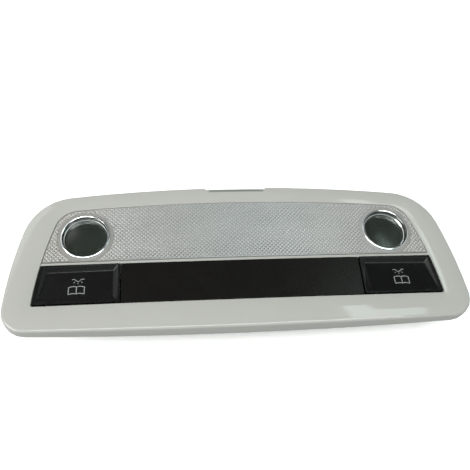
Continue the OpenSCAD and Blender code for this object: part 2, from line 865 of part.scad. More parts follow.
module bulb_holder() {
    grip = holder_r + cap_lip / 2;
    color([0.16, 0.16, 0.17])
        at_well()
            difference() {
                union() {
                    translate([0, 0, well_h - cap_h])
                        cylinder(r = holder_r - bore_gap, h = holder_len + cap_h);
                    translate([0, 0, well_h - cap_h])
                        cylinder(r = holder_r + cap_lip, h = cap_h);
                    translate([0, 0, well_h + tray_t + fit])
                        linear_extrude(height = bayonet_t)
                            bayonet(0);
                    translate([-grip, -cap_grip_w / 2, 0])
                        cube([2 * grip, cap_grip_w, well_h - cap_h / 2]);
                }
                translate([-wedge_w / 2 - fit, -wedge_t / 2 - fit, holder_top - wedge_h - fit])
                    cube([wedge_w + 2 * fit, wedge_t + 2 * fit, wedge_h + cut]);
            }
}

// Centre lamp

module trough_section(t) {
    margin = ledge_w + hook_gap + hook_t + fit;
    y0 = bar_y1 + row_bow(dome_half_w) + margin + t;
    y1 = back_y(opening, dome_half_w) - margin - t;
    polygon([[y0, trough_top + 2 * t], [y0 + trough_slope, floor_top + t],
             [y1 - trough_slope, floor_top + t], [y1, trough_top + 2 * t]]);
}

module dome_reflector() {
    color([0.9, 0.9, 0.88])
        difference() {
            along_x(-dome_half_w, 2 * dome_half_w)
                trough_section(0);
            along_x(-dome_half_w + tray_sheet, 2 * (dome_half_w - tray_sheet))
                trough_section(tray_sheet);
        }
}

module dome_bulb() {
    half = festoon_len / 2;
    cap_end = half - festoon_cap_len;
    end = [[tip_r, half], [festoon_cap_r - cap_round, half - tip_len],
           [festoon_cap_r, half - tip_len - cap_round], [festoon_cap_r, cap_end],
           [festoon_r - cap_round, cap_end - cap_round], [festoon_r, cap_end - 4 * cap_round]];
    color([0.88, 0.9, 0.9])
        translate([0, dome_y, festoon_z])
            rotate([0, 90, 0])
                rotate_extrude()
                    polygon(concat([[0, half]], end,
                                   [for (i = [len(end) - 1:-1:0]) [end[i][0], -end[i][1]]],
                                   [[0, -half]]));
}

module festoon_contact() {
    sheet = 0.5;
    plate_x = festoon_len / 2 - contact_bite - sheet / 2;
    foot_z = floor_top + tray_sheet + sheet / 2;
    // The cone of the bulb's tip, where it passes the inner face of the plate
    cone_r = tip_r + (festoon_cap_r - cap_round - tip_r) * (contact_bite + sheet) / tip_len;
    rise_z = festoon_z + contact_rise;
    color([0.8, 0.65, 0.35])
        difference() {
            translate([0, dome_y + contact_w / 2, 0])
                rotate([90, 0, 0])
                    linear_extrude(height = contact_w)
                        bent_sheet([[plate_x + contact_foot, foot_z], [plate_x, foot_z],
                                    [plate_x, rise_z],
                                    [plate_x + contact_flare, rise_z + contact_flare]], sheet);
            translate([plate_x - cut, dome_y, festoon_z])
                rotate([0, 90, 0])
                    cylinder(r = cone_r + pin_clear, h = 2 * cut);
        }
}

// Board, switches and connector

module circuit_board() {
    margin = 1.2;
    color([0.1, 0.35, 0.2])
        difference() {
            translate([0, 0, board_h])
                linear_extrude(height = board_t)
                    row_shape(margin, margin, 2 * margin, -rim_w / 2, rim_w / 2);
            for (p = board_posts)
                translate([p[0], p[1], board_h - cut])
                    cylinder(r = stake_r + fit / 2, h = board_t + 2 * cut);
            for (x = pin_spots)
                translate([x - pin_w / 2 - fit / 2, header_y - pin_t / 2 - fit / 2, board_h - cut])
                    cube([pin_w + fit, pin_t + fit, board_t + 2 * cut]);
        }
}

module switch_body() {
    color([0.2, 0.2, 0.21])
        translate([post_x, post_y, board_top])
            difference() {
                translate([-switch_w / 2, -switch_w / 2, 0])
                    cube([switch_w, switch_w, switch_h]);
                translate([0, 0, switch_wall])
                    cylinder(r = collar_plunger_r + collar_room, h = switch_h - 2 * switch_wall);
                translate([0, 0, switch_wall])
                    cylinder(r = plunger_r + plunger_clear, h = switch_h);
            }
}

module switch_plunger() {
    color([0.92, 0.92, 0.9])
        translate([post_x, post_y, plunger_low])
            union() {
                cylinder(r = collar_plunger_r, h = plunger_collar_h);
                cylinder(r = plunger_r, h = plunger_top - plunger_low);
            }
}

// A coil of round wire between z0 and z1
module coil(z0, z1, mean_r, wire_r, turns) {
    sides = 6;
    per_turn = 12;
    last = turns * per_turn;
    points = [for (i = [0:last], s = [0:sides - 1])
                  let (a = 360 * i / per_turn, b = 360 * s / sides,
                       r = mean_r + wire_r * cos(b))
                  [r * cos(a), r * sin(a),
                   z0 + wire_r + (z1 - z0 - 2 * wire_r) * i / last + wire_r * sin(b)]];
    polyhedron(points = points,
               faces = concat([[for (s = [0:sides - 1]) s]],
                              [for (i = [0:last - 1], s = [0:sides - 1])
                                   let (t = (s + 1) % sides, a = i * sides, b = a + sides)
                                   each [[a + s, b + s, b + t], [a + s, b + t, a + t]]],
                              [[for (s = [sides - 1:-1:0]) last * sides + s]]));
}

module return_spring() {
    color([0.7, 0.7, 0.72])
        translate([post_x, post_y, 0])
            coil(board_top + switch_wall + spring_end, plunger_low - spring_end,
                 plunger_r, spring_wire_r, spring_turns);
}

module connector_header() {
    latch_w = 8;
    latch_out = 1.2;
    latch_z = 3;
    latch_top = 5.6;
    key_slot_w = 4;
    front = -header_d / 2;
    color([0.12, 0.12, 0.13])
        translate([0, header_y, 0])
            difference() {
                union() {
                    translate([-header_w / 2, front, 0])
                        cube([header_w, header_d, board_h]);
                    along_x(-latch_w / 2, latch_w)
                        polygon([[front + latch_out / 2, latch_z],
                                 [front - latch_out, latch_top - latch_out / 2],
                                 [front - latch_out, latch_top], [front + latch_out / 2, latch_top]]);
                }
                translate([-socket_w / 2, -socket_d / 2, -cut])
                    cube([socket_w, socket_d, socket_h + cut]);
                for (x = [-socket_w / 4, socket_w / 4])
                    translate([x - key_slot_w / 2, socket_d / 2 - cut, -cut])
                        cube([key_slot_w, cut + socket_t / 2, socket_h + cut]);
                for (x = pin_spots)
                    translate([x - pin_w / 2 - pin_clear, -pin_t / 2 - pin_clear, 0])
                        cube([pin_w + 2 * pin_clear, pin_t + 2 * pin_clear, board_h + cut]);
            }
}

module connector_pins() {
    color([0.78, 0.78, 0.75])
        for (x = pin_spots)
            translate([x - pin_w / 2, header_y - pin_t / 2, pin_back])
                cube([pin_w, pin_t, board_top + pin_tail - pin_back]);
}

// Housing

module tray_hollow_shape() {
    difference() {
        opening_shape(tray_in);
        band(row_y1, bar_y1);
    }
}

module window_shapes() {
    half = panel_w / 2;
    intersection() {
        opening_shape(ledge_w);
        band(bar_y1 + ledge_w, rim_d);
    }
    row_shape(ledge_w, ledge_w, 0, -half + ledge_w, half - ledge_w);
    for (side = [-1, 1])
        intersection() {
            row_shape(tray_in, 0, (tray_in + key_side_gap) / 2, -rim_w, rim_w);
            translate([side * (key_x0 - key_gap / 2 + rim_w / 2), 0])
                square([rim_w, rim_d], center = true);
        }
}

// Section of a bearing ear at x, rooted in the wall under the bar
module ear_section(x) {
    root_y = row_y1 + row_bow(x) + bar_w / 2;
    translate([pivot_y, pivot_z])
        circle(r = ear_r);
    polygon([[pivot_y - ear_r, pivot_z], [root_y, pivot_z - ear_drop],
             [root_y, flange_top - ear_top_drop], [pivot_y, pivot_z + ear_r]]);
}

module well() {
    at_well()
        translate([0, 0, well_h])
            cylinder(r = well_r + tray_t, h = well_top - well_h);
}

module well_hollow() {
    at_well() {
        translate([0, 0, well_h + tray_t])
            cylinder(r = well_r, h = flange_top);
        translate([0, 0, well_top])
            cylinder(r = well_r + reflector_lip + fit, h = flange_t);
        translate([0, 0, well_h - cut])
            cylinder(r = holder_r, h = tray_t + 2 * cut);
        translate([0, 0, well_h - cut])
            linear_extrude(height = tray_t + 2 * cut)
                rotate(90)
                    bayonet(fit);
    }
}

module board_post(p) {
    translate([p[0], p[1], floor_top - cut])
        cylinder(r = board_post_r, h = board_h - floor_top + cut);
    translate([p[0], p[1], board_h - cut])
        cylinder(r = stake_r, h = cut + board_t + stake_out);
}

// Section of a web between a wall and the flange, with the wall towards -Y
module gusset_section() {
    low = seat_h - gusset_h;
    polygon([[-cut, seat_h + cut], [gusset_reach, seat_h + cut], [gusset_reach, seat_h], [0, low],
             [-cut, low]]);
}

// Triangular webs that brace the flange from the tray's long walls
module gussets() {
    for (x = gusset_xs)
        along_x(x - gusset_t / 2, gusset_t) {
            translate([back_y(opening, x) + tray_out, 0])
                gusset_section();
            translate([front_y(opening, x) - tray_out, 0])
                mirror([1, 0])
                    gusset_section();
        }
}

// The two guides that hold a spring clip to the end wall
module clip_guides() {
    at_end_wall()
        for (sy = [-1, 1])
            translate([-cut, sy * (clip_w / 2 + fit + guide_t / 2) - guide_t / 2, floor_h])
                cube([cut + clip_t + guide_t, guide_t, seat_h - floor_h + cut]);
}

module rear_housing() {
    hole_w = header_w + 2 * fit;
    hole_d = header_d + 2 * fit;
    color([0.83, 0.83, 0.8])
        difference() {
            union() {
                difference() {
                    union() {
                        translate([0, 0, seat_h])
                            linear_extrude(height = flange_t)
                                polygon(outline(inset(rim, rim_leg_t + fit)));
                        translate([0, 0, floor_h])
                            linear_extrude(height = seat_h - floor_h + cut)
                                opening_shape(-tray_out);
                        gussets();
                        both_sides()
                            clip_guides();
                    }
                    translate([0, 0, floor_top])
                        linear_extrude(height = seat_h - floor_top)
                            tray_hollow_shape();
                    translate([0, 0, seat_h - cut])
                        linear_extrude(height = flange_t + 2 * cut)
                            window_shapes();
                }
                both_sides() {
                    well();
                    along_x(inner_lug_x + lug_t + ear_gap, ear_t)
                        ear_section(inner_lug_x);
                    along_x(outer_lug_x - ear_gap - ear_t, ear_t)
                        ear_section(outer_lug_x);
                }
                for (p = board_posts)
                    board_post(p);
            }
            both_sides() {
                well_hollow();
                pivot_pin(key_x0, rim_w / 2 - key_x0, pivot_r + pivot_clear);
            }
            for (p = screw_spots)
                translate([p[0], p[1], seat_h - cut]) {
                    cylinder(r = screw_r + fit, h = flange_t + 2 * cut);
                    cylinder(r = screw_head_r + fit, h = cut + screw_head_sink + screw_head_h);
                }
            translate([-hole_w / 2, header_y - hole_d / 2, floor_h - cut])
                cube([hole_w, hole_d, tray_t + 2 * cut]);
            for (i = [-2:2])
                translate([i * vent_pitch - vent_w / 2, dome_y - vent_d / 2, floor_h - cut])
                    cube([vent_w, vent_d, tray_t + 2 * cut]);
        }
}

// A clip goes up the end wall, round a bend at its foot and out to a knee, and its lip turns back
module spring_clip() {
    wall_x = clip_t / 2;
    wall_top = seat_h - clip_foot + clip_t / 2;
    foot_z = floor_h + clip_foot;
    knee_z = seat_h - clip_tip_drop;
    color([0.62, 0.63, 0.65])
        at_end_wall()
            translate([0, clip_w / 2, 0])
                rotate([90, 0, 0])
                    linear_extrude(height = clip_w)
                        bent_sheet(concat([[wall_x, wall_top], [wall_x, foot_z]],
                                          [for (t = [195:15:330])
                                               [wall_x + bend_r + bend_r * cos(t),
                                                foot_z + bend_r * sin(t)]],
                                          [[clip_reach - clip_t, knee_z - 2 * clip_t],
                                           [clip_reach, knee_z],
                                           [clip_reach - clip_t, knee_z + 2 * clip_t],
                                           [clip_reach - 3 * clip_t, knee_z + 7 * clip_t]]),
                                   clip_t);
}

module bezel_screws() {
    head_z = seat_h + screw_head_sink;
    tip_z = face_z(screw_x) - rim_skin_t - screw_tip_gap;
    color([0.55, 0.55, 0.57])
        for (p = screw_spots)
            translate([p[0], p[1], head_z])
                difference() {
                    union() {
                        cylinder(r = screw_head_r, h = screw_head_h);
                        cylinder(r = screw_r, h = tip_z - head_z);
                    }
                    translate([0, 0, -cut])
                        cylinder(r = screw_drive_r, h = cut + screw_drive_h, $fn = 6);
                }
}

bezel();
diffuser_lens();
centre_panel();
mirror([1, 0, 0]) key();  // reading_button_left
key();  // reading_button_right
mirror([1, 0, 0]) reading_ring();  // reading_ring_left
reading_ring();  // reading_ring_right
mirror([1, 0, 0]) reading_lens();  // reading_lens_left
reading_lens();  // reading_lens_right
mirror([1, 0, 0]) reading_reflector();  // reading_reflector_left
reading_reflector();  // reading_reflector_right
mirror([1, 0, 0]) reading_bulb();  // reading_bulb_left
reading_bulb();  // reading_bulb_right
mirror([1, 0, 0]) bulb_holder();  // bulb_holder_left
bulb_holder();  // bulb_holder_right
dome_reflector();
dome_bulb();
mirror([1, 0, 0]) festoon_contact();  // festoon_contact_left
festoon_contact();  // festoon_contact_right
circuit_board();
mirror([1, 0, 0]) switch_body();  // switch_body_left
switch_body();  // switch_body_right
mirror([1, 0, 0]) switch_plunger();  // switch_plunger_left
switch_plunger();  // switch_plunger_right
mirror([1, 0, 0]) return_spring();  // return_spring_left
return_spring();  // return_spring_right
connector_header();
connector_pins();
rear_housing();
mirror([1, 0, 0]) spring_clip();  // spring_clip_left
spring_clip();  // spring_clip_right
bezel_screws();
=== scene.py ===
import json
import math

import bmesh
import bpy
from mathutils import Matrix, Vector
from mathutils.bvhtree import BVHTree


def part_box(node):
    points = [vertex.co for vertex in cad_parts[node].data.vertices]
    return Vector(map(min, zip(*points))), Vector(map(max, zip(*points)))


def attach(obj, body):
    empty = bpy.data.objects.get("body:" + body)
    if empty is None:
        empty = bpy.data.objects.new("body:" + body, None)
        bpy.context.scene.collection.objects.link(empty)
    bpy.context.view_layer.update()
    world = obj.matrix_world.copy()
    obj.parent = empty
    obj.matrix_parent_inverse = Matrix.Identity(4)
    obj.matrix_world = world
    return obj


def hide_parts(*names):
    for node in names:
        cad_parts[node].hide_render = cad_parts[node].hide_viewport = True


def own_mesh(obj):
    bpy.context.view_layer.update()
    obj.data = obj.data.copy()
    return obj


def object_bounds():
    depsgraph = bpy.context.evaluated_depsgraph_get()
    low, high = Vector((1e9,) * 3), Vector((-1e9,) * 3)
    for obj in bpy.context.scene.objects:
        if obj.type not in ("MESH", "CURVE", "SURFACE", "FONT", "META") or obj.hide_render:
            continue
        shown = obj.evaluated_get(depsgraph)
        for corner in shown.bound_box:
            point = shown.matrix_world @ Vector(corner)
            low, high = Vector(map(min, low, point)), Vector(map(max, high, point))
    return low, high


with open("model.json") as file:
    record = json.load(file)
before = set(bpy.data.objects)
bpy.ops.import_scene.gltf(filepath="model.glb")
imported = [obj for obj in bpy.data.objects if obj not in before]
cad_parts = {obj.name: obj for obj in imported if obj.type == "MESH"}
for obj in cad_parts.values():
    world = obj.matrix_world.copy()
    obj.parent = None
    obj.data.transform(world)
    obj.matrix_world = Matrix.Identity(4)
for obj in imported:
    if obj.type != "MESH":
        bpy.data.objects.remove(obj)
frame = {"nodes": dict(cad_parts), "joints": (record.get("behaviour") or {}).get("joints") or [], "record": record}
cad_low, cad_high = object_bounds()
nodes = frame["nodes"]

MM = 0.001
SIDES = {"left": -1, "right": 1}

# The prisms on the lens: side, height, and the plain border that is left round them
PRISM_PITCH = 1.66 * MM
PRISM_HEIGHT = 0.42 * MM
PRISM_BORDER = 0.25 * MM


# Small helpers

DROP_FROM = 0.1  # higher than any surface of the lamp
DOWN = Vector((0, 0, -1))


def add_mesh(name, bm, material):
    mesh = bpy.data.meshes.new(name)
    bm.to_mesh(mesh)
    bm.free()
    mesh.materials.append(material)
    obj = bpy.data.objects.new(name, mesh)
    bpy.context.scene.collection.objects.link(obj)
    return obj


def add_piece(name, bm, material):
    """A piece of the lamp, with its faces turned the same way."""
    bmesh.ops.recalc_face_normals(bm, faces=bm.faces)
    return add_mesh(name, bm, material)


def join_rows(bm, rows):
    """Faces between each row of points and the next."""
    for a, b in zip(rows, rows[1:]):
        for k in range(len(a) - 1):
            bm.faces.new((a[k], a[k + 1], b[k + 1], b[k]))


def tree_of(node):
    """Search tree of a CAD node's mesh, for finding its surface."""
    mesh = nodes[node].data
    corners = [v.co.copy() for v in mesh.vertices]
    return BVHTree.FromPolygons(corners, [tuple(p.vertices) for p in mesh.polygons])


def drop_on(tree, x, y):
    """The place and the normal where a line straight down at x, y meets the surface. Both are
    None where it meets nothing."""
    return tree.ray_cast(Vector((x, y, DROP_FROM)), DOWN)[:2]


# Shader nodes

NOISE_LOW, NOISE_HIGH = 0.3, 0.7  # most of a noise lies between these


def new_material(name):
    mat = bpy.data.materials.new(name)
    mat.use_nodes = True
    return mat, mat.node_tree, mat.node_tree.nodes["Principled BSDF"]


def coordinates(tree, kind="Object"):
    return tree.nodes.new("ShaderNodeTexCoord").outputs[kind]


def split(tree, vector):
    """The x, y and z of a vector."""
    node = tree.nodes.new("ShaderNodeSeparateXYZ")
    tree.links.new(vector, node.inputs["Vector"])
    return tuple(node.outputs)


def maths(tree, operation, first, second=None):
    node = tree.nodes.new("ShaderNodeMath")
    node.operation = operation
    for value, socket in zip((first, second), node.inputs):
        if isinstance(value, (int, float)):
            socket.default_value = value
        elif value is not None:
            tree.links.new(value, socket)
    return node.outputs["Value"]


def noise(tree, scale, detail, stretch=(1, 1, 1)):
    """Noise in the lamp's own frame. scale counts patches per metre."""
    mapping = tree.nodes.new("ShaderNodeMapping")
    mapping.inputs["Scale"].default_value = stretch
    tree.links.new(coordinates(tree), mapping.inputs["Vector"])
    tex = tree.nodes.new("ShaderNodeTexNoise")
    tex.inputs["Scale"].default_value = scale
    tex.inputs["Detail"].default_value = detail
    tree.links.new(mapping.outputs["Vector"], tex.inputs["Vector"])
    return tex.outputs["Fac"]


def ramp(tree, value, low, high, start=0.0, end=1.0):
    """Colour from low to high as the value goes from start to end."""
    node = tree.nodes.new("ShaderNodeValToRGB")
    node.color_ramp.elements[0].position = start
    node.color_ramp.elements[1].position = end
    node.color_ramp.elements[0].color = (*low, 1)
    node.color_ramp.elements[1].color = (*high, 1)
    tree.links.new(value, node.inputs["Fac"])
    return node.outputs["Color"]


def spread(tree, value, low, high, start, end):
    """Number from low to high as the value goes from start to end."""
    node = tree.nodes.new("ShaderNodeMapRange")
    node.inputs["From Min"].default_value = start
    node.inputs["From Max"].default_value = end
    node.inputs["To Min"].default_value = low
    node.inputs["To Max"].default_value = high
    tree.links.new(value, node.inputs["Value"])
    return node.outputs["Result"]


def bump(tree, shader, value, height, edge):
    """Grain of the given height, on edges that look rounded to the given radius."""
    node = tree.nodes.new("ShaderNodeBump")
    node.inputs["Distance"].default_value = height
    tree.links.new(value, node.inputs["Height"])
    tree.links.new(node.outputs["Normal"], shader.inputs["Normal"])
    if edge:
        soft = tree.nodes.new("ShaderNodeBevel")
        soft.inputs["Radius"].default_value = edge
        tree.links.new(soft.outputs["Normal"], node.inputs["Normal"])


# Materials

PATCH = 35         # patches of tone per metre
GLOSS_PATCH = 140  # patches of gloss per metre


def moulded(name, colour, tone, rough, grain, depth, stretch=(1, 1, 1), edge=0.0, **sockets):
    """Moulded or finished surface: a slow drift of tone, a fine grain and uneven gloss. tone is
    the drift's share of the colour, rough the range of roughness, and grain counts per metre."""
    mat, tree, shader = new_material(name)
    low = tuple(c * (1 - tone) for c in colour)
    high = tuple(min(c * (1 + tone), 1.0) for c in colour)
    drift = noise(tree, PATCH, 4.0, stretch)
    tree.links.new(ramp(tree, drift, low, high, NOISE_LOW, NOISE_HIGH),
                   shader.inputs["Base Color"])
    gloss = noise(tree, GLOSS_PATCH, 5.0, stretch)
    tree.links.new(spread(tree, gloss, *rough, NOISE_LOW, NOISE_HIGH),
                   shader.inputs["Roughness"])
    bump(tree, shader, noise(tree, grain, 2.0, stretch), depth, edge)
    for key, value in sockets.items():
        shader.inputs[key.replace("_", " ")].default_value = value
    return mat


# Painted light and shade on the lens, by the distance from its lightest and coolest place, which is a little right
# of the middle: light and cool there, where the white reflector behind shows through, and darker and warmer
# towards the lamps
PAINTED_LIGHT_X = 12 * MM
PAINTED_LIGHT_START, PAINTED_LIGHT_END = 20 * MM, 110 * MM
PAINTED_LIT_COLOUR, PAINTED_SHADED_COLOUR = (0.97, 1.0, 1.0), (0.775, 0.74, 0.7)

# Painted shade in the corners between the prisms, where they shade each other: its colour, how wide the marks are,
# and how strong they are by the patch, from the front to the back, and over the right end
PAINTED_CORNER_SHADE = (0.36, 0.37, 0.37)
CORNER_START, CORNER_END = 0.2, 1.7
CORNER_PATCH = 28
CORNER_WEAK, CORNER_STRONG = 0.3, 1.0
CORNER_PATCH_LOW, CORNER_PATCH_HIGH = 0.38, 0.6
CORNER_FRONT, CORNER_BACK = 1.15, 0.4
CORNER_RIGHT = 0.3
RIGHT_START, RIGHT_END = 70 * MM, 95 * MM


def paint_corner_shade(tree):
    """Painted shade: dark marks where the corners between the prisms lie."""
    low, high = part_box("diffuser_lens")
    place = coordinates(tree)
    lattice = tree.nodes.new("ShaderNodeMapping")
    lattice.vector_type = "TEXTURE"
    lattice.inputs["Location"].default_value = (0, (low.y + high.y) / 2, 0)
    lattice.inputs["Rotation"].default_value = (0, 0, math.radians(45))
    lattice.inputs["Scale"].default_value = [PRISM_PITCH / math.tau] * 3
    tree.links.new(place, lattice.inputs["Vector"])
    across, along, _ = split(tree, lattice.outputs["Vector"])
    rise = maths(tree, "ADD", maths(tree, "COSINE", across), maths(tree, "COSINE", along))
    x, y, _ = split(tree, place)
    patches = noise(tree, CORNER_PATCH, 1.0, (1, 2, 1))
    dot = spread(tree, rise, 0, 1, CORNER_START, CORNER_END)
    for share in (spread(tree, patches, CORNER_WEAK, CORNER_STRONG,
                         CORNER_PATCH_LOW, CORNER_PATCH_HIGH),
                  spread(tree, y, CORNER_FRONT, CORNER_BACK, low.y, high.y),
                  spread(tree, x, 1, CORNER_RIGHT, RIGHT_START, RIGHT_END)):
        dot = maths(tree, "MULTIPLY", dot, share)
    return ramp(tree, dot, (1, 1, 1), PAINTED_CORNER_SHADE)


def lens_material(name, painted_shade):
    """Clear moulding, clouded by its prisms, with painted light and shade: lighter and cool in the middle, darker
    and warmer near the lamps. With the second argument set, painted shade darkens the corners between the prisms."""
    mat = moulded(name, (0.4, 0.405, 0.4), tone=0.03, rough=(0.2, 0.26), grain=1800,
                  depth=0.002 * MM, IOR=1.49, Transmission_Weight=0.3)
    tree, shader = mat.node_tree, mat.node_tree.nodes["Principled BSDF"]
    colour = shader.inputs["Base Color"].links[0].from_socket
    x, _, _ = split(tree, coordinates(tree))
    reach = maths(tree, "ABSOLUTE", maths(tree, "SUBTRACT", x, PAINTED_LIGHT_X))
    # Painted light and shade: lighter in the middle, darker towards the lamps
    layers = [ramp(tree, spread(tree, reach, 0, 1, PAINTED_LIGHT_START, PAINTED_LIGHT_END), PAINTED_LIT_COLOUR, PAINTED_SHADED_COLOUR)]
    # Painted shade in the corners between the prisms
    if painted_shade:
        layers.append(paint_corner_shade(tree))
    for layer in layers:
        mix = tree.nodes.new("ShaderNodeMix")
        mix.data_type = "RGBA"
        mix.blend_type = "MULTIPLY"
        mix.inputs["Factor"].default_value = 1
        tree.links.new(colour, mix.inputs["A"])
        tree.links.new(layer, mix.inputs["B"])
        colour = mix.outputs["Result"]
    tree.links.new(colour, shader.inputs["Base Color"])
    return mat


FINISHES = {
    "grey_rim": moulded("rim_plastic", (0.342, 0.341, 0.321), tone=0.015, rough=(0.045, 0.065),
                        grain=2600, depth=0.0003 * MM, edge=0.3 * MM),
    # painted light and shade on the lens: lighter in the middle, darker towards the lamps
    "clear_lens": lens_material("lens_plastic", painted_shade=False),
    "dark_panel": moulded("panel_plastic", (0.005, 0.0046, 0.0041), tone=0.05, rough=(0.25, 0.3),
                          grain=2200, depth=0.003 * MM, edge=0.25 * MM, Specular_IOR_Level=0.25),
    "dark_keys": moulded("key_plastic", (0.004, 0.0042, 0.004), tone=0.05, rough=(0.24, 0.3),
                         grain=2400, depth=0.002 * MM, edge=0.25 * MM, Specular_IOR_Level=0.3),
    "bright_ring": moulded("ring_plating", (0.82, 0.84, 0.85), tone=0.03, rough=(0.14, 0.2),
                           grain=1500, depth=0.0005 * MM, Metallic=1.0),
    "smoked_glass": moulded("smoked_glass", (0.095, 0.115, 0.095), tone=0.08, rough=(0.18, 0.24),
                            grain=500, depth=0.001 * MM, IOR=1.5, Transmission_Weight=0.85),
    "mirror_coat": moulded("mirror_coat", (0.86, 0.87, 0.88), tone=0.03, rough=(0.06, 0.14),
                           grain=900, depth=0.002 * MM, Metallic=1.0),
    "bulb_glass": moulded("bulb_glass", (0.9, 0.92, 0.93), tone=0.02, rough=(0.02, 0.05),
                          grain=400, depth=0.001 * MM, IOR=1.5, Transmission_Weight=0.9),
    "black_mouldings": moulded("black_moulding", (0.022, 0.022, 0.024), tone=0.1,
                               rough=(0.4, 0.55), grain=1800, depth=0.012 * MM),
    "white_reflector": moulded("white_moulding", (0.8, 0.8, 0.77), tone=0.03, rough=(0.3, 0.4),
                               grain=1500, depth=0.005 * MM),
    "contact_brass": moulded("contact_brass", (0.72, 0.5, 0.2), tone=0.08, rough=(0.2, 0.35),
                             grain=1800, depth=0.004 * MM, stretch=(1, 6, 1), Metallic=1.0),
    "board": moulded("board_mask", (0.02, 0.12, 0.05), tone=0.1, rough=(0.25, 0.35),
                     grain=1200, depth=0.006 * MM),
    "white_plunger": moulded("plunger_plastic", (0.75, 0.75, 0.72), tone=0.03, rough=(0.35, 0.45),
                             grain=2000, depth=0.005 * MM),
    "spring_steel": moulded("spring_steel", (0.5, 0.51, 0.53), tone=0.03, rough=(0.22, 0.32),
                            grain=2200, depth=0.002 * MM, stretch=(1, 3, 1), Metallic=1.0),
    "tinned_pins": moulded("tinned_pins", (0.7, 0.7, 0.67), tone=0.05, rough=(0.22, 0.35),
                           grain=2500, depth=0.003 * MM, stretch=(1, 1, 6), Metallic=1.0),
    "pale_housing": moulded("housing_plastic", (0.62, 0.62, 0.58), tone=0.04, rough=(0.4, 0.52),
                            grain=1500, depth=0.012 * MM),
    "zinc_screws": moulded("zinc_plating", (0.45, 0.46, 0.48), tone=0.08, rough=(0.25, 0.4),
                           grain=1800, depth=0.004 * MM, Metallic=1.0),
}


# Smooth shading

SHARP_DEGREES = 25
WELD = 0.0005 * MM  # a mesh's split corners are joined within this distance


def smooth_node_group(name):
    """Modifier that joins a mesh's split corners and shades all but its sharp edges smooth."""
    group = bpy.data.node_groups.new(name, "GeometryNodeTree")
    group.interface.new_socket("Geometry", in_out="INPUT", socket_type="NodeSocketGeometry")
    group.interface.new_socket("Geometry", in_out="OUTPUT", socket_type="NodeSocketGeometry")
    new, link = group.nodes.new, group.links.new
    start, end = new("NodeGroupInput"), new("NodeGroupOutput")
    merge = new("GeometryNodeMergeByDistance")
    merge.inputs["Distance"].default_value = WELD
    faces = new("GeometryNodeSetShadeSmooth")
    faces.domain = "FACE"
    edges = new("GeometryNodeSetShadeSmooth")
    edges.domain = "EDGE"
    edges.inputs["Shade Smooth"].default_value = False
    angle = new("GeometryNodeInputMeshEdgeAngle")
    sharp = new("FunctionNodeCompare")
    sharp.operation = "GREATER_THAN"
    sharp.inputs["B"].default_value = math.radians(SHARP_DEGREES)
    link(start.outputs["Geometry"], merge.inputs["Geometry"])
    link(merge.outputs["Geometry"], faces.inputs["Geometry"])
    link(faces.outputs["Geometry"], edges.inputs["Geometry"])
    link(angle.outputs["Unsigned Angle"], sharp.inputs["A"])
    link(sharp.outputs["Result"], edges.inputs["Selection"])
    link(edges.outputs["Geometry"], end.inputs["Geometry"])
    return group


SMOOTH = smooth_node_group("smooth_by_angle")


def dress_nodes():
    """Gives every CAD node its slot's material and smooth shading."""
    slot_of = {s["node"]: s["material_slot"] for s in frame["record"]["subparts"]}
    for name, obj in nodes.items():
        obj.data.materials.clear()
        obj.data.materials.append(FINISHES[slot_of[name]])
        obj.modifiers.new("shading", "NODES").node_group = SMOOTH


# Prisms on the lens

LENS_SLACK = 0.05 * MM  # how far the plain lens may lie from its parabola
BORDER_LOOKS = 8        # places on the border's circle that have to be plain
CUT = 4                 # a pyramid on the field's edge is cut into this many parts each way


def lens_level(tree):
    """The lens's plain surface as a function of x, from its height on the middle line and
    half way along, which a parabola joins."""
    low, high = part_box("diffuser_lens")
    mid_y = (low.y + high.y) / 2
    reach = high.x / 2
    z0 = drop_on(tree, 0, mid_y)[0].z
    z1 = drop_on(tree, reach, mid_y)[0].z
    return lambda x: z0 - (z0 - z1) * (x / reach) ** 2


